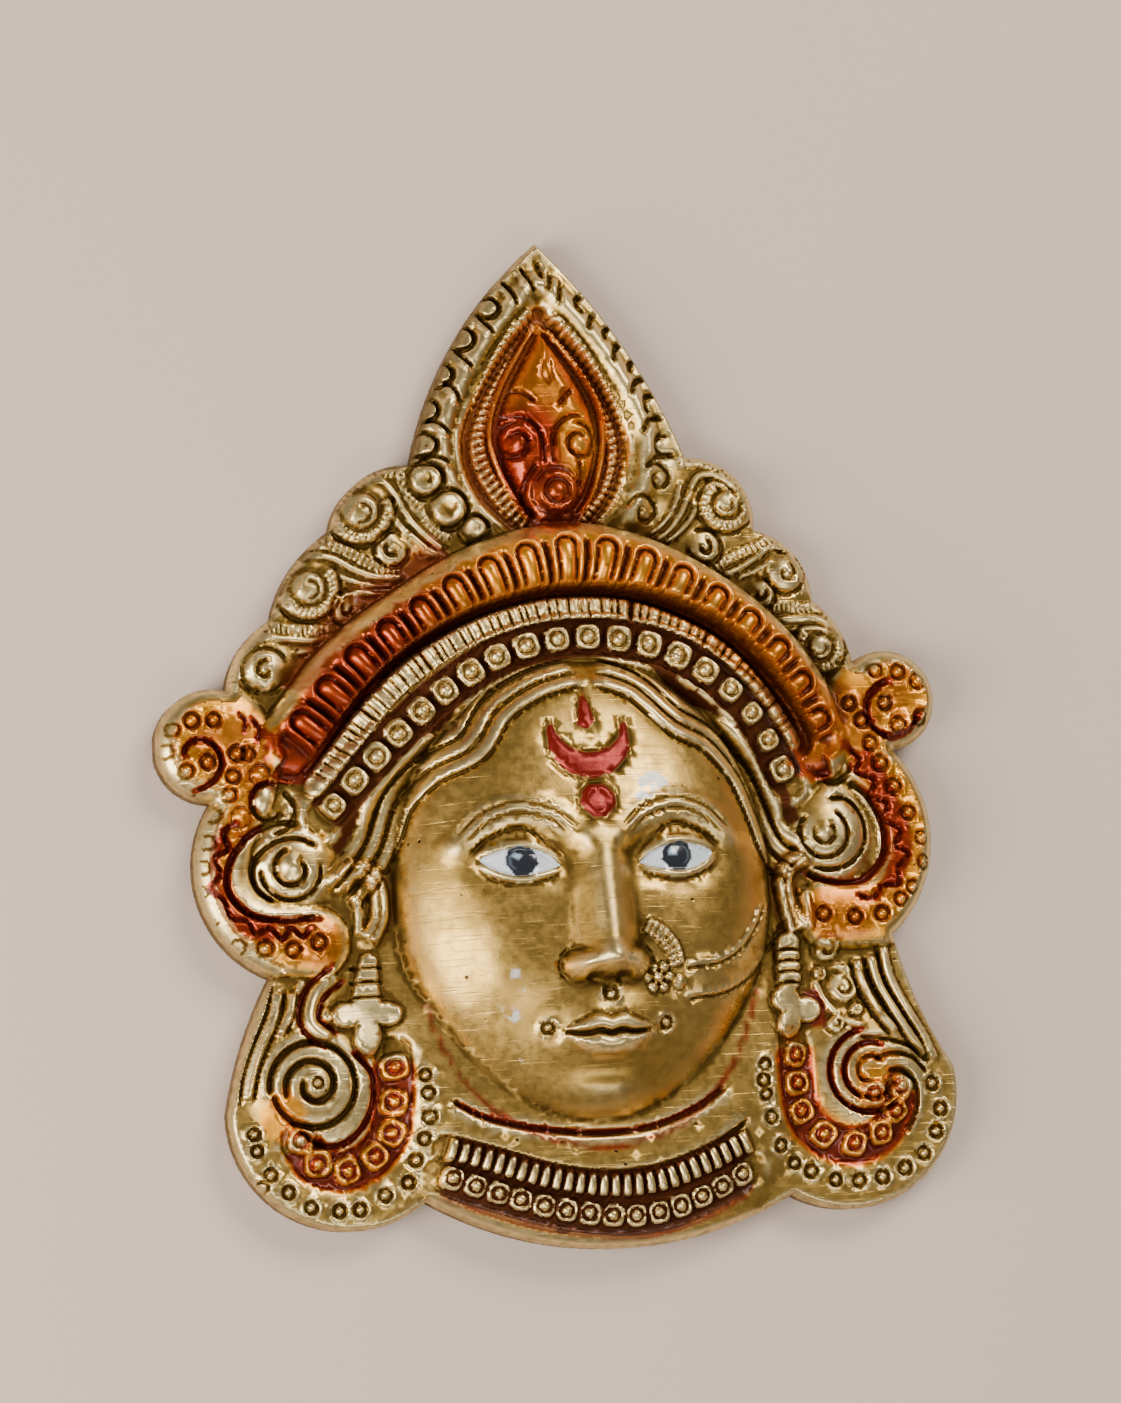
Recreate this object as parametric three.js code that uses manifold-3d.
import * as THREE from 'three';
import * as BufferGeometryUtils from 'three/addons/utils/BufferGeometryUtils.js';
import Module from 'manifold-3d';

// Brass wall mask: one hollow casting, lying on its open back, +Z up, millimetres.
// The crown points along +Y and the back rim lies at z = 0.

// Driving dimensions
const HEIGHT = 250; // crown tip to the lip under the necklace
const WALL = 2.4; // thickness of the cast brass
const RIM_LAND = 3.2; // width of the flat rim that the mask lies on
const SIDE_HEIGHT = 7; // straight side above the back rim
const FIELD_HEIGHT = 9.5; // ground between the ornaments
const EDGE_ROUND = 5; // radius of the rounded front edge
const HEAD_HEIGHT = 31; // forehead above the back rim
const ROLL_HEIGHT = 21.5; // crest of the fluted roll over the forehead
const CARVING = 1.5; // height of the scrolls and beads over their ground
const BOLD = 1.35 * CARVING; // height of the heavier scrolls
const HIGH = 1.6 * CARVING; // height of the rope, the hair and the ears
const SUNK = 1.2; // depth to which each carved piece is let into its ground

// The carving is drawn in units of its own, and SCALE turns them into millimetres.
const DRAWN_HEIGHT = 248.3;
const SCALE = HEIGHT / DRAWN_HEIGHT;

// Rises over the ground
const BORDER_RISE = 3; // swollen border of the crown leaf
const JEWEL_RISE = 4.5;
const CROWN_LOBE_RISE = 2.5;
const EAR_BAND_RISE = 4;
const EAR_VOLUTE_RISE = 4.5;
const LOWER_LOBE_RISE = 4;
const THROAT_RISE = 6;
const BEAD_BAND_DROP = 6; // from the crest of the roll to the band of beads under it

// Widths of the carved lines, from the middle to the edge
const THIN_LINE = 1.7;
const BROAD_LINE = 2.4;
const FLAT_FROM = 2.5; // half width from which a line has a flat crest
const BEAD = 4; // radius of the square beads
const BEAD_TOP = 0.62; // their flat top against their foot

// Fineness of the facets
const HALVINGS = 6; // times that a side of the height grid is halved into its cells
const CELLS = 2 ** HALVINGS;
const FRONT_ERROR = 2.2; // largest step between the carving and its facets
const FACE_WEIGHT = 2; // how much finer the face is cut than the ornaments
const BACK_ERROR = 1.6; // the same for the plain inside
const ARC_STEPS = 6; // straight pieces in one arc of the outline
const PATH_STEP = 1.5; // spacing of the points that a line is measured by
const GENTLE = 17; // spacing of the sections along straight, bent and tight lines
const BENT = 9.5;
const TIGHT = 5.5;
const WELD = 1e-5; // corners nearer than this are one

const v2 = ( x, y ) => new THREE.Vector2( x, y );
const clamp = THREE.MathUtils.clamp;
const radians = THREE.MathUtils.degToRad;

// Profiles of the carving, over t = 0 at the middle to 1 at the edge
const halfRound = ( t ) => t < 1 ? Math.sqrt( 1 - t * t ) : 0;
const softBump = ( t ) => t < 1 ? ( 1 - t * t ) ** 2 : 0;
const ease = ( t ) => THREE.MathUtils.smoothstep( t, 0, 1 );
const join = ( a, b, soft ) => ( a + b + Math.hypot( a - b, soft ) ) / 2;

// Outline

// An arc from a to b that passes through m, without its first point.
function arcThrough( a, m, b ) {

	const d = 2 * ( a.x * ( m.y - b.y ) + m.x * ( b.y - a.y ) + b.x * ( a.y - m.y ) );
	const [ aa, mm, bb ] = [ a.lengthSq(), m.lengthSq(), b.lengthSq() ];
	const cx = ( aa * ( m.y - b.y ) + mm * ( b.y - a.y ) + bb * ( a.y - m.y ) ) / d;
	const cy = ( aa * ( b.x - m.x ) + mm * ( a.x - b.x ) + bb * ( m.x - a.x ) ) / d;
	const angle = ( p ) => Math.atan2( p.y - cy, p.x - cx );
	const clockwise = ( m.x - a.x ) * ( b.y - a.y ) - ( m.y - a.y ) * ( b.x - a.x ) > 0;
	const curve = new THREE.EllipseCurve(
		cx, cy, Math.hypot( a.x - cx, a.y - cy ), Math.hypot( a.x - cx, a.y - cy ),
		angle( a ), angle( b ), ! clockwise );
	// Points along the arc, first one left out because the previous arc ends there.
	return curve.getPoints( ARC_STEPS ).slice( 1 );

}

// Clockwise from the crown tip: each arc is the point it bulges through and the notch it ends in.
const TIP = [ - 0.5, 124 ];
const OUTLINE_ARCS = [
	[ 17, 103.5, 35, 69.5 ], // right edge of the crown leaf
	[ 47.5, 64.5, 51.5, 51 ], // right crown lobes, top to bottom
	[ 61.5, 45, 65.5, 33 ],
	[ 72, 26, 75, 17 ],
	[ 95.5, 9, 84, - 5 ], // right horn
	[ 92.5, - 29, 81, - 51 ], // right side lobe
	[ 85.5, - 66, 94.5, - 84 ], // flare down to the right lower lobe
	[ 80, - 114.5, 51, - 113.5 ], // right lower lobe
	[ 7, - 124.3, - 40.5, - 110.5 ], // lip under the necklace
	[ - 70.5, - 114, - 87.3, - 88 ], // left lower lobe
	[ - 83, - 72, - 75.5, - 55.5 ], // flare above it
	[ - 92.3, - 34, - 88, - 13 ], // left side lobe
	[ - 100.5, 4, - 83, 14 ], // left horn
	[ - 78.5, 25, - 71, 31.5 ], // left crown lobes, bottom to top
	[ - 66, 43, - 55.5, 53 ],
	[ - 48.5, 64.5, - 34.5, 68.5 ],
	[ - 20, 102.5, - 0.5, 124 ], // left edge of the crown leaf
];

function outlinePoints() {

	const points = [];
	let from = v2( ...TIP );
	for ( const [ mx, my, x, y ] of OUTLINE_ARCS ) {

		const to = v2( x, y );
		points.push( ...arcThrough( from, v2( mx, my ), to ) );
		from = to;

	}

	return points;

}

const outline = outlinePoints();

// The outline moved inwards by the same distance all round.
function insetOutline( distance ) {

	return outline.map( ( p, i ) => {

		const before = outline.at( i - 1 );
		const after = outline[ ( i + 1 ) % outline.length ];
		const along = after.clone().sub( before ).normalize();
		return v2( p.x + along.y * distance, p.y - along.x * distance );

	} );

}

// Lines of the carving

// Evenly spaced points on a smooth line through the ones given.
function smoothLine( points, closed = false ) {

	const curve = new THREE.CatmullRomCurve3(
		points.map( ( [ x, y ] ) => new THREE.Vector3( x, y, 0 ) ), closed, 'centripetal' );
	const count = Math.max( 4, Math.round( curve.getLength() / PATH_STEP ) );
	return curve.getSpacedPoints( count ).map( ( p ) => v2( p.x, p.y ) );

}

// A volute that winds in from its outer radius to its inner one.
function volute( [ x, y ], outer, inner, startDegrees, turns ) {

	const count = Math.ceil( Math.abs( turns ) * Math.PI * ( outer + inner ) / PATH_STEP );
	const points = [];
	for ( let i = 0; i <= count; i ++ ) {

		const radius = THREE.MathUtils.lerp( outer, inner, i / count );
		const angle = radians( startDegrees ) + 2 * Math.PI * turns * i / count;
		points.push( v2( x + radius * Math.cos( angle ), y + radius * Math.sin( angle ) ) );

	}

	return points;

}

// Distance from a line and the length run along it, for one point.
function nearest( line, x, y ) {

	const best = { distance: Infinity, run: 0 };
	let run = 0;
	for ( let i = 1; i < line.length; i ++ ) {

		const a = line[ i - 1 ];
		const ex = line[ i ].x - a.x;
		const ey = line[ i ].y - a.y;
		const length = Math.hypot( ex, ey );
		const t = clamp( ( ( x - a.x ) * ex + ( y - a.y ) * ey ) / ( length * length ), 0, 1 );
		const distance = Math.hypot( x - a.x - t * ex, y - a.y - t * ey );
		if ( distance < best.distance ) {

			best.distance = distance;
			best.run = run + t * length;

		}

		run += length;

	}

	best.length = run;
	return best;

}

const isInside = ( loop, x, y ) => {

	let inside = false;
	for ( let i = 0, j = loop.length - 1; i < loop.length; j = i ++ ) {

		const [ a, b ] = [ loop[ i ], loop[ j ] ];
		if ( a.y > y === b.y > y ) continue;
		const crossing = ( b.x - a.x ) * ( y - a.y ) / ( b.y - a.y ) + a.x;
		if ( x < crossing ) inside = ! inside;

	}

	return inside;

};

// Height grid: one height for each corner of its square cells, in drawn units
const CORNERS = CELLS + 1;
const GRID_CENTRE = v2( - 2.2, - 0.1 );
const GRID_SPAN = 256; // side of the square grid
const GRID_CELL = GRID_SPAN / CELLS;
const gridX = ( i ) => GRID_CENTRE.x + ( i - CELLS / 2 ) * GRID_CELL;
const gridY = ( j ) => GRID_CENTRE.y + ( j - CELLS / 2 ) * GRID_CELL;

class Relief {

	constructor( height ) {

		this.heights = new Float32Array( CORNERS * CORNERS ).fill( height );

	}

	// Reshapes every corner in a box: change( x, y, height ) gives the new height.
	inBox( [ x0, y0, x1, y1 ], change ) {

		const index = ( value, centre ) => ( value - centre ) / GRID_CELL + CELLS / 2;
		const i0 = Math.max( 0, Math.ceil( index( x0, GRID_CENTRE.x ) ) );
		const i1 = Math.min( CELLS, Math.floor( index( x1, GRID_CENTRE.x ) ) );
		const j0 = Math.max( 0, Math.ceil( index( y0, GRID_CENTRE.y ) ) );
		const j1 = Math.min( CELLS, Math.floor( index( y1, GRID_CENTRE.y ) ) );
		for ( let j = j0; j <= j1; j ++ ) {

			for ( let i = i0; i <= i1; i ++ ) {

				const k = j * CORNERS + i;
				this.heights[ k ] = change( gridX( i ), gridY( j ), this.heights[ k ] );

			}

		}

	}

	// Reshapes what lies within reach of a line.
	along( line, reach, change ) {

		const box = new THREE.Box2().setFromPoints( line ).expandByScalar( reach );
		this.inBox( [ box.min.x, box.min.y, box.max.x, box.max.y ], ( x, y, height ) => {

			const near = nearest( line, x, y );
			return near.distance < reach ? change( height, near, x, y ) : height;

		} );

	}

	// Reshapes a closed loop and the reach around it, by the depth inside the loop.
	region( loop, reach, change ) {

		const closed = [ ...loop, loop[ 0 ] ];
		const box = new THREE.Box2().setFromPoints( loop ).expandByScalar( reach );
		this.inBox( [ box.min.x, box.min.y, box.max.x, box.max.y ], ( x, y, height ) => {

			const { distance } = nearest( closed, x, y );
			const depth = isInside( loop, x, y ) ? distance : - distance;
			return depth > - reach ? change( height, depth, x, y ) : height;

		} );

	}

	// The height between the corners, by the square cell that holds the point.
	heightAt( x, y ) {

		const u = clamp( ( x - GRID_CENTRE.x ) / GRID_CELL + CELLS / 2, 0, CELLS - 1e-6 );
		const v = clamp( ( y - GRID_CENTRE.y ) / GRID_CELL + CELLS / 2, 0, CELLS - 1e-6 );
		const k = Math.floor( v ) * CORNERS + Math.floor( u );
		const row = ( n ) => THREE.MathUtils.lerp( this.heights[ n ], this.heights[ n + 1 ], u % 1 );
		return THREE.MathUtils.lerp( row( k ), row( k + CORNERS ), v % 1 );

	}

	// An oval dome that blends into the ground.
	dome( [ x, y ], [ rx, ry ], top ) {

		this.inBox( [ x - rx, y - ry, x + rx, y + ry ], ( px, py, old ) => {

			const rise = halfRound( Math.hypot( ( px - x ) / rx, ( py - y ) / ry ) );
			return rise > 0 ? Math.max( old, join( old, top * rise, rise ) ) : old;

		} );

	}

	// Adds a soft oval swelling, or a hollow where the height is negative.
	swell( [ x, y ], [ rx, ry ], height ) {

		this.inBox( [ x - rx, y - ry, x + rx, y + ry ], ( px, py, old ) =>
			old + height * softBump( Math.hypot( ( px - x ) / rx, ( py - y ) / ry ) ) );

	}

}

// Points along a line at even spacing, half a space from its ends, for beads and flutes.
function stations( line, count ) {

	const curve = new THREE.SplineCurve( line );
	const out = [];
	for ( let i = 0; i < count; i ++ ) {

		const t = ( i + 0.5 ) / count;
		const tangent = curve.getTangentAt( t );
		out.push( { at: curve.getPointAt( t ), out: v2( - tangent.y, tangent.x ) } );

	}

	return out;

}

// Places of the forms, in drawn units
const ROLL_LINE = [
	[ - 68, 0 ], [ - 53, 17.5 ], [ - 36, 29.5 ], [ - 18.5, 39 ], [ 0, 43.5 ],
	[ 15, 41.5 ], [ 33, 33 ], [ 48, 21 ], [ 58.5, 7 ], [ 63, - 3 ],
];
const ROLL_HALF_WIDTH = 9.5;
const FLUTES = 17;
const FLUTE_HALF_WIDTH = 5.6; // over half the spacing, so that neighbours meet
const FLUTE_SIDES = 6;
const FLUTE_RINGS = 3;
const ROPE_LINE = [
	[ - 63, - 10 ], [ - 43, 13.5 ], [ - 25, 25 ], [ - 8, 30.5 ], [ 5, 31.5 ],
	[ 17, 30.5 ], [ 27, 26.5 ], [ 37, 19.5 ], [ 47, 7.5 ], [ 53, - 2.5 ],
];
const BROW_BEAD_LINE = [
	[ - 62, - 18 ], [ - 46, - 1 ], [ - 32, 11 ], [ - 15.5, 20.5 ], [ 2.5, 24 ],
	[ 20, 22 ], [ 34, 15.5 ], [ 46, 4 ], [ 55, - 13 ],
];
const BROW_BEAD_COUNT = 19;
const BEAD_BAND_HALF_WIDTH = 10;
const BEAD_BAND_SLOPE = 6; // width over which the band falls to the ground
const END_TAPER = 6; // the roll and the band fall over a sixth of their length

const HEAD_CENTRE = [ 1.8, - 38 ];
const HEAD_RADII = [ 48.5, 61 ];
const JAW_NARROWING = 0.1; // how much slimmer the head is at the chin
const SOCKET_DEPTH = 2.4;
const HAIR_LOCKS = [
	[ [ 2, 17 ], [ - 11, 13 ], [ - 21, 7 ], [ - 27, - 1 ], [ - 37, - 6 ], [ - 45, - 14 ], [ - 50, - 26 ],
		[ - 59, - 37 ] ],
	[ [ 5, 17 ], [ 16, 12 ], [ 25, 4 ], [ 34, 0 ], [ 42, - 9 ], [ 47, - 20 ], [ 51, - 28 ], [ 58, - 33 ] ],
];

// Sickle and dot on the forehead
const SICKLE = [ [ - 8, 0.5 ], [ - 6.2, - 8.5 ], [ 1.3, - 12.5 ], [ 8.8, - 8.5 ], [ 10.6, 0.5 ] ];
const FOREHEAD_DOT = [ 1.9, - 17.5 ];
const DOT_RADIUS = 4.4;
const MARK_HEIGHT = 0.8;

// Crown leaf: the channel inside its border and the jewel inside the channel
const CROWN_AXIS = - 1;
const CHANNEL_LEFT = [ [ CROWN_AXIS, 108.5 ], [ - 14.5, 92 ], [ - 23, 73.5 ], [ - 19.5, 60 ], [ - 10, 50 ] ];
const CHANNEL_RIGHT = [ [ CROWN_AXIS, 108.5 ], [ 12, 92 ], [ 20, 73.5 ], [ 16.5, 60 ], [ 9, 50 ] ];
const JEWEL_LEFT = [ [ CROWN_AXIS, 104 ], [ - 9.5, 88 ], [ - 13.5, 74 ], [ - 10.5, 60 ], [ - 5, 51 ] ];
const JEWEL_RIGHT = [ [ CROWN_AXIS, 104 ], [ 8, 89 ], [ 12.5, 75 ], [ 9.5, 60 ], [ 4, 51 ] ];
const BORDER_WIDTH = 9;
const JEWEL_EDGE = 1.5; // how far its slope reaches outside its line, and over what width it rises
const JEWEL_SLOPE = 7;
const JEWEL_VOLUTES = [
	[ [ CROWN_AXIS - 7, 74 ], 5, 1.4, - 20, 1.1 ], [ [ CROWN_AXIS + 7, 74 ], 5, 1.4, 200, - 1.1 ],
];
const JEWEL_BOSS = [ 0.5, 60 ];
const JEWEL_BOSS_RADIUS = 5;
const BORDERS = [
	[ [ - 6, 116 ], [ - 18, 101 ], [ - 26, 86 ], [ - 29.5, 70 ], [ - 24, 56 ] ],
	[ [ 4, 115 ], [ 15, 101 ], [ 23, 86 ], [ 28, 70 ], [ 23.5, 55 ] ],
];
const BORDER_KNOB_COUNT = 6;

// Volutes as centre, outer radius, inner radius, start in degrees and turns
const CROWN_VOLUTES = [
	[ [ - 47, 57 ], 7.5, 1.5, - 60, 1.3 ], [ [ - 61.5, 38 ], 7.5, 1.5, - 60, 1.3 ],
	[ [ - 74, 20.5 ], 6.5, 1.5, - 60, 1.3 ], [ [ 44, 57 ], 7, 1.5, 240, - 1.3 ],
	[ [ 57.5, 38.5 ], 6.5, 1.5, 240, - 1.3 ], [ [ 66, 22 ], 6, 1.5, 240, - 1.3 ],
];
const CROWN_LOBE_MARGIN = 6.5; // of the lobe's dome round its volute
// Leaf ridges that sweep from the lobes down to the roll
const SWEEPS = [
	[ [ - 40, 65 ], [ - 37, 55 ], [ - 27, 47 ] ], [ [ - 57, 49.5 ], [ - 50, 44 ], [ - 41, 40.5 ] ],
	[ [ - 72, 29.5 ], [ - 64, 29 ], [ - 55, 26.5 ] ], [ [ 36, 66 ], [ 33, 57 ], [ 25, 50 ] ],
	[ [ 56, 49 ], [ 49, 44.5 ], [ 42, 41 ] ], [ [ 65, 32 ], [ 60, 30 ], [ 55, 29.5 ] ],
];

// Ear scrolls on either side of the head: the beaded outer band and the volute inside it
const EAR_BANDS = [
	[ [ - 93, - 2 ], [ - 94, 6 ], [ - 86, 7.5 ], [ - 80, 0 ], [ - 82, - 11 ], [ - 87.5, - 22 ],
		[ - 88.5, - 33 ], [ - 81, - 44 ], [ - 65, - 47.5 ] ],
	[ [ 86, - 1 ], [ 91, 5 ], [ 86, 12.5 ], [ 77, 11 ], [ 74, 0 ], [ 79, - 9 ],
		[ 86, - 21 ], [ 86.5, - 33 ], [ 79, - 44 ], [ 64, - 45.5 ] ],
];
const EAR_BAND_HALF_WIDTH = 9;
const EAR_VOLUTES = [ [ [ - 68.5, - 28.5 ], 13, 3, 150, 1.6 ], [ [ 65, - 26 ], 12.5, 3, 30, - 1.6 ] ];
const EAR_DOME = [ 15, 17 ];
const EARS = [
	[ [ - 59, - 34 ], [ - 55, - 30.5 ], [ - 50, - 33 ], [ - 49, - 42 ], [ - 52, - 48 ] ],
	[ [ 58, - 31 ], [ 53, - 35 ], [ 53.5, - 44 ], [ 55, - 50 ] ],
];
// Ear drops as centre and radii
const DROPS = [
	[ [ - 53, - 53 ], [ 3.6, 4 ] ], [ [ - 53.5, - 64 ], [ 6.5, 8.5 ] ],
	[ [ 52.5, - 55.5 ], [ 3.2, 6.5 ] ], [ [ 53, - 68 ], [ 6, 7.5 ] ],
];
const DROP_HEIGHT = 3.8;

// Lower lobes: the volute, the beads round it and the ribbon that runs up from it
const LOWER_DOME = [ 24, 30 ];
const LOWER_LOBES = [
	{
		volute: [ [ - 66, - 81.5 ], 12.5, 2.5, 100, 1.6 ],
		beads: [ [ - 47.5, - 78 ], [ - 48.5, - 92 ], [ - 58, - 102 ], [ - 71, - 94 ] ],
		count: 7,
		ribbon: [ [ - 74, - 58 ], [ - 79, - 68 ], [ - 80, - 80 ] ],
	},
	{
		volute: [ [ 70.5, - 84 ], 12.5, 2.5, 80, - 1.6 ],
		beads: [ [ 53, - 79.5 ], [ 54, - 93.5 ], [ 67, - 102 ], [ 79, - 89 ] ],
		count: 8,
		ribbon: [ [ 75, - 56 ], [ 80, - 68 ], [ 86, - 79 ] ],
	},
];

// Throat: a low dome that carries the collar, a row of ribs and a row of beads
const THROAT_CENTRE = [ 3, - 80 ];
const THROAT_RADIUS = 60;
const THROAT_BOX = [ - 50, - 130, 56, - 60 ];
const COLLAR_LINE = [ [ - 36, - 92 ], [ - 21, - 100 ], [ 1.5, - 104 ], [ 22, - 101.5 ], [ 38, - 94 ] ];
const RIB_LINE = [ [ - 36, - 97.5 ], [ - 12, - 107.5 ], [ 3.5, - 109.3 ], [ 20, - 107 ], [ 41, - 99.5 ] ];
const THROAT_BEAD_LINE = [
	[ - 38.5, - 103.5 ], [ - 17, - 112 ], [ 4, - 115.5 ], [ 22, - 115 ], [ 43, - 106.5 ],
];
const THROAT_BEAD_COUNT = 14;

// Face by the usual thirds and fifths: hairline, brow, nose and chin a third of the face
// apart, and an eye as wide as a fifth of the head
const [ FACE_X, HEAD_Y ] = HEAD_CENTRE;
const HAIRLINE = 16;
const CHIN = HEAD_Y - HEAD_RADII[ 1 ] + 1;
const THIRD = ( HAIRLINE - CHIN ) / 3;
const EYE_WIDTH = 2 * HEAD_RADII[ 0 ] / 5;
const BROW = HAIRLINE - THIRD;
const NOSE_BASE = BROW - THIRD;
const EYE_LINE = BROW - 0.25 * THIRD;
const MOUTH_LINE = NOSE_BASE - THIRD / 3;
const MOUTH_HALF_WIDTH = 12;
// Soft forms of the face as radii and height
const SOCKET = [ [ 15, 9 ], - SOCKET_DEPTH ];
const EYEBALL = [ [ 9.5, 5 ], 2.2 ];
const NOSTRIL = [ [ 5.5, 5.5 ], 5 ];
const NOSTRIL_AT = [ 6.3, 3.5 ]; // from the middle of the nose base
const LIPS = [ [ 20, 12.5 ], 4 ];
const CHIN_BALL = [ [ 14, 11 ], 3 ];
const NOSE_TOP = 2; // height and half width of the nose at the brow, and what they gain to its tip
const NOSE_GAIN = 9.5;
const NOSE_HALF_WIDTH = 6.75;
const NOSE_WIDENING = 4.8;
const NOSE_CURVE = 1.2;
const NOSE_ENDS = [ 6, 8 ]; // widths over which its tip and its root fall away
// Carved lines of the face as half width, height and how far their middle bows
const UPPER_LID = [ 1.2, 0.9, 5 ];
const LOWER_LID = [ 1.2, 0.7, - 3.8 ];
const BROW_LINE = [ 1.6, 0.8, 5.5 ];
const UPPER_LIP = [ 2.2, 1.4, 2.4 ];
const LOWER_LIP = [ 2.6, 1.6, - 3 ];
const LID_SPREAD = 0.56; // half length of the lids and the brows against the eye's width
const BROW_SPREAD = 0.72;
const LIP_GAP = 1.2; // of each lip from the line of the mouth

// Ground under the carving, from its outline inwards

const shapeGround = ( relief ) => relief.region( outline, GRID_CELL, () => FIELD_HEIGHT );

function shapeCrownLeaf( relief ) {

	const loopOf = ( left, right ) =>
		[ ...smoothLine( left ), ...smoothLine( right ).reverse().slice( 0, - 1 ) ];
	relief.region( loopOf( CHANNEL_LEFT, CHANNEL_RIGHT ), BORDER_WIDTH, ( old, depth ) =>
		depth < 0 ? old + BORDER_RISE * softBump( Math.abs( 2 * depth / BORDER_WIDTH + 1 ) ) : old );
	relief.region( loopOf( JEWEL_LEFT, JEWEL_RIGHT ), JEWEL_EDGE, ( old, depth ) =>
		old + JEWEL_RISE * ease( ( depth + JEWEL_EDGE ) / JEWEL_SLOPE ) );

}

function shapeCrownLobes( relief ) {

	for ( const [ centre, radius ] of CROWN_VOLUTES ) {

		const reach = radius + CROWN_LOBE_MARGIN;
		relief.dome( centre, [ reach, reach ], FIELD_HEIGHT + CROWN_LOBE_RISE );

	}

}

function shapeEarScrolls( relief ) {

	for ( const band of EAR_BANDS ) {

		relief.along( smoothLine( band ), EAR_BAND_HALF_WIDTH, ( old, near ) => Math.max( old,
			FIELD_HEIGHT + EAR_BAND_RISE * halfRound( near.distance / EAR_BAND_HALF_WIDTH ) ) );

	}

	for ( const [ centre ] of EAR_VOLUTES ) relief.dome( centre, EAR_DOME, FIELD_HEIGHT + EAR_VOLUTE_RISE );

}

function shapeLowerLobes( relief ) {

	for ( const { volute: [ centre ] } of LOWER_LOBES ) {

		relief.dome( centre, LOWER_DOME, FIELD_HEIGHT + LOWER_LOBE_RISE );

	}

}

function shapeThroat( relief ) {

	const [ cx, cy ] = THROAT_CENTRE;
	relief.inBox( THROAT_BOX, ( x, y, old ) => {

		const reach = Math.hypot( x - cx, y - cy ) / THROAT_RADIUS;
		return Math.max( old, ( FIELD_HEIGHT + THROAT_RISE ) * halfRound( reach ** 2 ) );

	} );

}

// Heights fall towards both ends of the roll, where it meets the ear scrolls.
const taper = ( share ) => 0.5 + 0.5 * ease( END_TAPER * Math.min( share, 1 - share ) );

// The sloping band that the beads over the brow stand on
function shapeBeadBand( relief ) {

	const crest = ROLL_HEIGHT - BEAD_BAND_DROP - FIELD_HEIGHT;
	relief.along( smoothLine( BROW_BEAD_LINE ), BEAD_BAND_HALF_WIDTH, ( old, near ) => {

		const slope = ease( ( BEAD_BAND_HALF_WIDTH - near.distance ) / BEAD_BAND_SLOPE );
		return Math.max( old, FIELD_HEIGHT + crest * slope * taper( near.run / near.length ) );

	} );

}

// Head: an egg-shaped dome, smaller all round by an inset for its inside
function shapeHead( relief, inset = 0 ) {

	const [ cx, cy ] = HEAD_CENTRE;
	const [ rx, ry ] = HEAD_RADII.map( ( radius ) => radius - inset );
	relief.inBox( [ cx - rx, cy - ry, cx + rx, cy + ry ], ( x, y, old ) => {

		const v = ( y - cy ) / ry;
		const narrowing = 1 - JAW_NARROWING * clamp( - v, 0, 1 ) ** 2;
		const u = ( x - cx ) / ( rx * narrowing );
		// The powers give a broad, nearly flat front and steep sides.
		const rise = Math.max( 0, 1 - ( u * u + v * v ) ** 1.15 );
		return Math.max( old, ( HEAD_HEIGHT - inset ) * rise ** 0.42 );

	} );

}

function shapeFace( relief ) {

	for ( const side of [ - 1, 1 ] ) {

		const eye = [ FACE_X + side * EYE_WIDTH, EYE_LINE ];
		relief.swell( eye, ...SOCKET );
		relief.swell( eye, ...EYEBALL );
		relief.swell( [ FACE_X + side * NOSTRIL_AT[ 0 ], NOSE_BASE + NOSTRIL_AT[ 1 ] ], ...NOSTRIL );

	}

	// Ridge of the nose, from the brow to its tip
	const [ tipFall, rootFall ] = NOSE_ENDS;
	const [ low, high ] = [ NOSE_BASE - tipFall / 3, BROW + rootFall / 2 ];
	const reach = NOSE_HALF_WIDTH + NOSE_WIDENING;
	relief.inBox( [ FACE_X - reach, low, FACE_X + reach, high ], ( x, y, old ) => {

		const t = clamp( ( high - y ) / ( high - NOSE_BASE ), 0, 1 );
		const half = NOSE_HALF_WIDTH + NOSE_WIDENING * t;
		const ends = ease( ( y - low ) / tipFall ) * ease( ( high - y ) / rootFall );
		const height = NOSE_TOP + NOSE_GAIN * t ** NOSE_CURVE;
		return old + height * softBump( Math.abs( x - FACE_X ) / half ) * ends;

	} );
	relief.swell( [ FACE_X, MOUTH_LINE ], ...LIPS );
	relief.swell( [ FACE_X, CHIN + CHIN_BALL[ 0 ][ 1 ] ], ...CHIN_BALL );

}

// Carving that stands on the ground: each piece is a closed solid, let into it a little

// A raised line that follows the ground.
function cord( relief, line, halfWidth, height, spacing = BENT ) {

	const flat = new THREE.SplineCurve( line );
	const steps = Math.max( 3, Math.round( flat.getLength() / spacing ) );
	const points = flat.getSpacedPoints( steps ).map( ( p ) =>
		new THREE.Vector3( p.x, p.y, relief.heightAt( p.x, p.y ) ) );
	const crest = halfWidth < FLAT_FROM
		? [ v2( - height, 0 ) ]
		: [ v2( - height, - 0.5 * halfWidth ), v2( - height, 0.5 * halfWidth ) ];
	const section = new THREE.Shape( [ v2( SUNK, - halfWidth ), ...crest, v2( SUNK, halfWidth ) ] );
	return new THREE.ExtrudeGeometry( section, {
		steps, curveSegments: 1, extrudePath: new THREE.CatmullRomCurve3( points ) } );

}

// A bead with a flat top and the sides asked for, turned square to an angle.
function button( relief, [ x, y ], radius, height, sides = 4, angle = 0 ) {

	const geometry = new THREE.CylinderGeometry( BEAD_TOP * radius, radius, height + SUNK, sides );
	geometry.rotateY( Math.PI / sides ).rotateX( Math.PI / 2 ).rotateZ( angle );
	return geometry.translate( x, y, relief.heightAt( x, y ) + ( height - SUNK ) / 2 );

}

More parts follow.
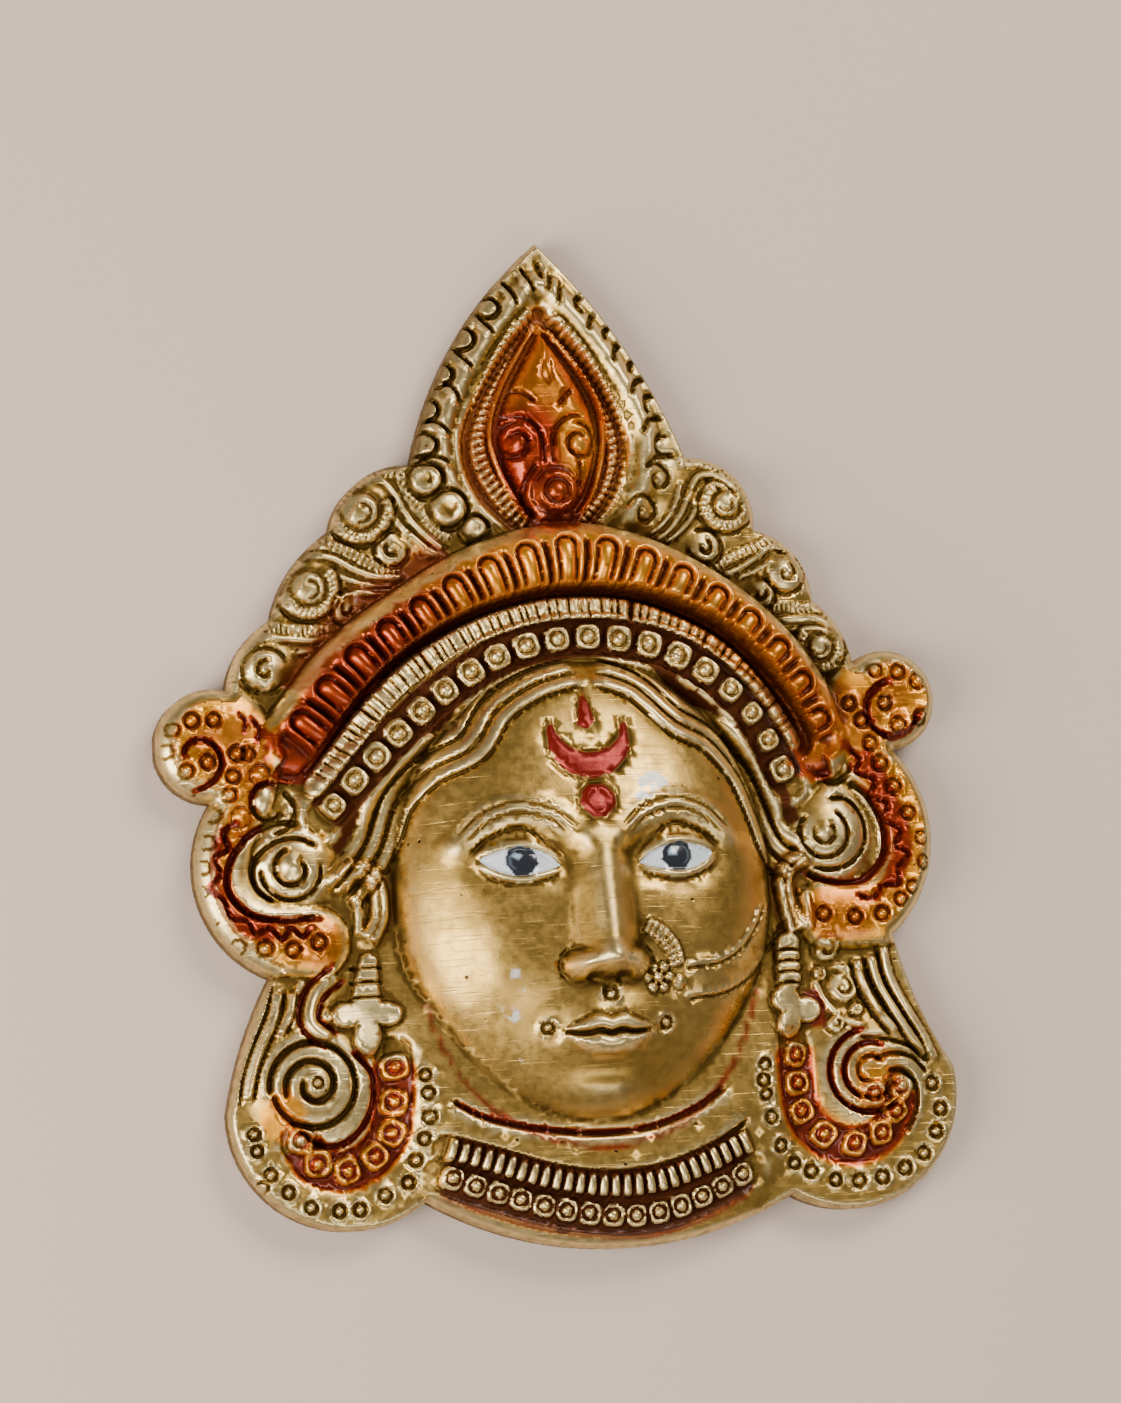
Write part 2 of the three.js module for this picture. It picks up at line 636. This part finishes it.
// A row of square beads along a line.
function beadRow( relief, points, count ) {

	return stations( smoothLine( points ), count ).map( ( { at, out } ) =>
		button( relief, [ at.x, at.y ], BEAD, CARVING, 4, Math.atan2( out.y, out.x ) ) );

}

function carveCrownLeaf( relief ) {

	return [
		...[ CHANNEL_LEFT, CHANNEL_RIGHT ].map( ( edge ) =>
			cord( relief, smoothLine( edge ).slice( 1 ), THIN_LINE, CARVING, GENTLE ) ),
		...JEWEL_VOLUTES.map( ( spiral ) => cord( relief, volute( ...spiral ), THIN_LINE, CARVING, TIGHT ) ),
		button( relief, JEWEL_BOSS, JEWEL_BOSS_RADIUS, CARVING, 8 ),
		...BORDERS.flatMap( ( border ) => beadRow( relief, border, BORDER_KNOB_COUNT ) ),
	];

}

function carveCrownLobes( relief ) {

	return [
		...CROWN_VOLUTES.map( ( spiral ) => cord( relief, volute( ...spiral ), THIN_LINE, CARVING ) ),
		...SWEEPS.map( ( sweep ) => cord( relief, smoothLine( sweep ), BROAD_LINE, BOLD ) ),
	];

}

// The roll is a row of swollen flutes that press against each other.
function carveRoll( relief ) {

	return stations( smoothLine( ROLL_LINE ), FLUTES ).map( ( { at, out }, i ) => {

		const rise = ( ROLL_HEIGHT - FIELD_HEIGHT + SUNK ) * taper( ( i + 0.5 ) / FLUTES );
		return new THREE.SphereGeometry( 1, FLUTE_SIDES, FLUTE_RINGS )
			.rotateY( Math.PI / FLUTE_SIDES )
			.scale( FLUTE_HALF_WIDTH, ROLL_HALF_WIDTH, rise )
			.rotateZ( Math.atan2( out.y, out.x ) - Math.PI / 2 )
			.translate( at.x, at.y, FIELD_HEIGHT - SUNK );

	} );

}

function carveBeadBand( relief ) {

	return [
		cord( relief, smoothLine( ROPE_LINE ), FLAT_FROM, HIGH, GENTLE ),
		...beadRow( relief, BROW_BEAD_LINE, BROW_BEAD_COUNT ),
	];

}

const carveHair = ( relief ) =>
	HAIR_LOCKS.map( ( lock ) => cord( relief, smoothLine( lock ), FLAT_FROM, HIGH, GENTLE ) );

function carveFace( relief ) {

	const arc = ( x, y, half, [ width, height, bow ] ) =>
		cord( relief, smoothLine( [ [ x - half, y ], [ x, y + bow ], [ x + half, y ] ] ), width, height );
	const eyes = [ - 1, 1 ].flatMap( ( side ) => {

		const x = FACE_X + side * EYE_WIDTH;
		return [
			arc( x, EYE_LINE, LID_SPREAD * EYE_WIDTH, UPPER_LID ),
			arc( x, EYE_LINE, LID_SPREAD * EYE_WIDTH, LOWER_LID ),
			arc( x, BROW, BROW_SPREAD * EYE_WIDTH, BROW_LINE ),
		];

	} );
	return [
		...eyes,
		arc( FACE_X, MOUTH_LINE + LIP_GAP, MOUTH_HALF_WIDTH, UPPER_LIP ),
		arc( FACE_X, MOUTH_LINE - LIP_GAP, MOUTH_HALF_WIDTH, LOWER_LIP ),
	];

}

function carveForeheadMark( relief ) {

	return [
		cord( relief, smoothLine( SICKLE ), BROAD_LINE, MARK_HEIGHT, TIGHT ),
		button( relief, FOREHEAD_DOT, DOT_RADIUS, MARK_HEIGHT, 8 ),
	];

}

function carveEarScrolls( relief ) {

	const drops = DROPS.map( ( [ [ x, y ], [ rx, ry ] ] ) =>
		new THREE.SphereGeometry( 1, FLUTE_SIDES, FLUTE_RINGS )
			.scale( rx, ry, DROP_HEIGHT )
			.translate( x, y, relief.heightAt( x, y ) ) );
	return [
		...EAR_VOLUTES.map( ( spiral ) => cord( relief, volute( ...spiral ), BROAD_LINE, BOLD ) ),
		...EARS.map( ( ear ) => cord( relief, smoothLine( ear ), FLAT_FROM, HIGH, TIGHT ) ),
		...drops,
	];

}

function carveLowerLobes( relief ) {

	return LOWER_LOBES.flatMap( ( lobe ) => [
		cord( relief, volute( ...lobe.volute ), BROAD_LINE, BOLD ),
		cord( relief, smoothLine( lobe.ribbon ), BROAD_LINE, BOLD, GENTLE ),
		...beadRow( relief, lobe.beads, lobe.count ),
	] );

}

function carveThroat( relief ) {

	return [
		...[ COLLAR_LINE, RIB_LINE ].map( ( line ) =>
			cord( relief, smoothLine( line ), BROAD_LINE, BOLD, GENTLE ) ),
		...beadRow( relief, THROAT_BEAD_LINE, THROAT_BEAD_COUNT ),
	];

}

// Triangles

// The two halves of the grid: both ends of the long side, then the right angle
const LOWER_HALF = [ 0, 0, CELLS, CELLS, CELLS, 0 ];
const UPPER_HALF = [ CELLS, CELLS, 0, 0, 0, CELLS ];

// Right-angled triangles over the height grid, split until none departs from it by more
// than the error allowed, each departure counted by its weight.
function gridFacets( heights, maxError, weights ) {

	const errors = new Float32Array( CORNERS * CORNERS );
	const at = ( x, y ) => y * CORNERS + x;
	const smallest = 2 * CELLS * CELLS;
	// Every triangle has a number whose bits say which halves lead to it, and the small ones
	// come last, so that a large one takes over what its halves need.
	for ( let number = 2 * smallest - 1; number >= 2; number -- ) {

		let [ ax, ay, bx, by, cx, cy ] = number % 2 ? LOWER_HALF : UPPER_HALF;
		for ( let bits = number >> 1; bits > 1; bits >>= 1 ) {

			const [ mx, my ] = [ ( ax + bx ) >> 1, ( ay + by ) >> 1 ];
			if ( bits % 2 ) [ ax, ay, bx, by ] = [ cx, cy, ax, ay ];
			else [ ax, ay, bx, by ] = [ bx, by, cx, cy ];
			[ cx, cy ] = [ mx, my ];

		}

		const [ mx, my ] = [ ( ax + bx ) >> 1, ( ay + by ) >> 1 ];
		if ( Math.abs( ax - cx ) + Math.abs( ay - cy ) < 2 ) continue;
		const chord = ( heights[ at( ax, ay ) ] + heights[ at( bx, by ) ] ) / 2;
		const own = weights[ at( mx, my ) ] * Math.abs( chord - heights[ at( mx, my ) ] );
		const half1 = errors[ at( ( ax + cx ) >> 1, ( ay + cy ) >> 1 ) ];
		const half2 = errors[ at( ( bx + cx ) >> 1, ( by + cy ) >> 1 ) ];
		errors[ at( mx, my ) ] = Math.max( errors[ at( mx, my ) ], own, half1, half2 );

	}

	const triangles = [];
	const split = ( ax, ay, bx, by, cx, cy ) => {

		const [ mx, my ] = [ ( ax + bx ) >> 1, ( ay + by ) >> 1 ];
		if ( Math.abs( ax - cx ) + Math.abs( ay - cy ) > 1 && errors[ at( mx, my ) ] > maxError ) {

			split( cx, cy, ax, ay, mx, my );
			split( bx, by, cx, cy, mx, my );

		} else {

			triangles.push( [ at( ax, ay ), at( bx, by ), at( cx, cy ) ] );

		}

	};

	split( ...LOWER_HALF );
	split( ...UPPER_HALF );
	return triangles;

}

const wasm = await Module();
wasm.setup();

// A closed mesh of three.js as a solid
function solidOf( geometry ) {

	const bare = geometry.clone();
	bare.deleteAttribute( 'normal' );
	bare.deleteAttribute( 'uv' );
	const merged = BufferGeometryUtils.mergeVertices( bare, WELD );
	return new wasm.Manifold( new wasm.Mesh( {
		numProp: 3,
		vertProperties: new Float32Array( merged.attributes.position.array ),
		triVerts: new Uint32Array( merged.index.array ),
	} ) );

}

// A block whose top is the height grid and whose flat underside lies at floor.
function blockOf( heights, floor, maxError, weights ) {

	const top = gridFacets( heights, maxError, weights );
	const positions = [];
	const column = ( k ) => k % CORNERS;
	const row = ( k ) => Math.floor( k / CORNERS );
	const push = ( k, z ) =>
		positions.push( gridX( column( k ) ) * SCALE, gridY( row( k ) ) * SCALE, z );
	const isBorder = ( a, b ) => a === b && ( a === 0 || a === CELLS );
	const onEdge = ( k, l ) => isBorder( column( k ), column( l ) ) || isBorder( row( k ), row( l ) );

	for ( const [ a, b, c ] of top ) {

		for ( const k of [ a, c, b ] ) push( k, heights[ k ] );
		for ( const k of [ a, b, c ] ) push( k, floor );
		for ( const [ k, l ] of [ [ a, c ], [ c, b ], [ b, a ] ] ) {

			if ( ! onEdge( k, l ) ) continue;
			push( k, heights[ k ] );
			push( k, floor );
			push( l, heights[ l ] );
			push( l, heights[ l ] );
			push( k, floor );
			push( l, floor );

		}

	}

	const geometry = new THREE.BufferGeometry();
	geometry.setAttribute( 'position', new THREE.Float32BufferAttribute( positions, 3 ) );
	const index = Array.from( { length: positions.length / 3 }, ( _, i ) => i );
	geometry.setIndex( index );
	return solidOf( geometry );

}

function prismOf( points, depth, lift ) {

	const shape = new THREE.Shape( points.map( ( p ) => p.clone().multiplyScalar( SCALE ) ) );
	const geometry = new THREE.ExtrudeGeometry( shape, { depth, bevelEnabled: false } );
	return solidOf( geometry.translate( 0, 0, lift ) );

}

// The space that the mask keeps to: straight sides, then a rounded edge, then free height.
function envelopeOf( tall ) {

	const shape = new THREE.Shape( outline.map( ( p ) => p.clone().multiplyScalar( SCALE ) ) );
	const rounded = new THREE.ExtrudeGeometry( shape, {
		depth: SIDE_HEIGHT,
		bevelSize: EDGE_ROUND,
		bevelOffset: - EDGE_ROUND,
		bevelThickness: EDGE_ROUND,
		bevelSegments: 1,
	} );
	const core = prismOf( insetOutline( EDGE_ROUND ), tall, 0 );
	return wasm.Manifold.union( [ solidOf( rounded ), core ] ).intersect( prismOf( outline, tall, 0 ) );

}

// The inside of the casting: plain, a wall below the ground and hollowed out under the head,
// deep enough below the face to clear the eye sockets
function insideHeights() {

	const inside = new Relief( FIELD_HEIGHT - WALL );
	shapeHead( inside, WALL + SOCKET_DEPTH );
	return inside.heights;

}

const SHAPES = [
	shapeGround, shapeCrownLeaf, shapeCrownLobes, shapeEarScrolls, shapeLowerLobes, shapeThroat,
	shapeBeadBand, shapeHead, shapeFace,
];
const CARVINGS = [
	carveCrownLeaf, carveCrownLobes, carveEarScrolls, carveLowerLobes, carveThroat, carveRoll,
	carveBeadBand, carveHair, carveFace, carveForeheadMark,
];
const FACE_BOX = [ 30, 60, 30 ]; // how far the finely cut face reaches to the side, down and up
const LIFT = 2; // how far a cutting solid passes the faces that it cuts

function makeMask() {

	const relief = new Relief( SIDE_HEIGHT );
	for ( const shape of SHAPES ) shape( relief );
	const carving = CARVINGS.flatMap( ( carve ) => carve( relief ) )
		.map( ( piece ) => solidOf( piece.scale( SCALE, SCALE, 1 ) ) );

	// The face is cut finer than the ornaments, and what lies outside the outline not at all.
	const weights = new Relief( 0 );
	weights.region( outline, GRID_CELL, () => 1 );
	const [ side, down, up ] = FACE_BOX;
	weights.inBox( [ FACE_X - side, HEAD_Y - down, FACE_X + side, HEAD_Y + up ], () => FACE_WEIGHT );

	const tall = 2 * HEAD_HEIGHT; // clear of the nose
	const front = blockOf( relief.heights, - LIFT, FRONT_ERROR, weights.heights );
	const body = wasm.Manifold.union( [ front, ...carving ] ).intersect( envelopeOf( tall ) );

	const cavity = blockOf( insideHeights(), - LIFT, BACK_ERROR, weights.heights );
	const opening = prismOf( insetOutline( RIM_LAND ), tall + LIFT, - LIFT );
	// Pockets that the carving closes over the ground are filled: only the casting itself is kept.
	const bodies = body.subtract( cavity.intersect( opening ) ).decompose();
	const casting = bodies.reduce( ( a, b ) => a.volume() > b.volume() ? a : b );

	const mesh = casting.getMesh();
	const geometry = new THREE.BufferGeometry();
	const corners = Float32Array.from( mesh.vertProperties );
	geometry.setAttribute( 'position', new THREE.BufferAttribute( corners, 3 ) );
	geometry.setIndex( new THREE.BufferAttribute( Uint32Array.from( mesh.triVerts ), 1 ) );
	geometry.computeBoundingBox();
	return geometry;

}

const brass = new THREE.MeshStandardMaterial( { color: 0xb99f62, roughness: 0.36, metalness: 1 } );
const geometry = makeMask();
const mask = new THREE.Mesh( geometry, brass );
mask.name = 'mask';
// The origin lies under the middle of the mask's box.
const middle = geometry.boundingBox.getCenter( new THREE.Vector3() );
mask.position.set( - middle.x, - middle.y, 0 );

const group = new THREE.Group();
group.add( mask );

export default group;
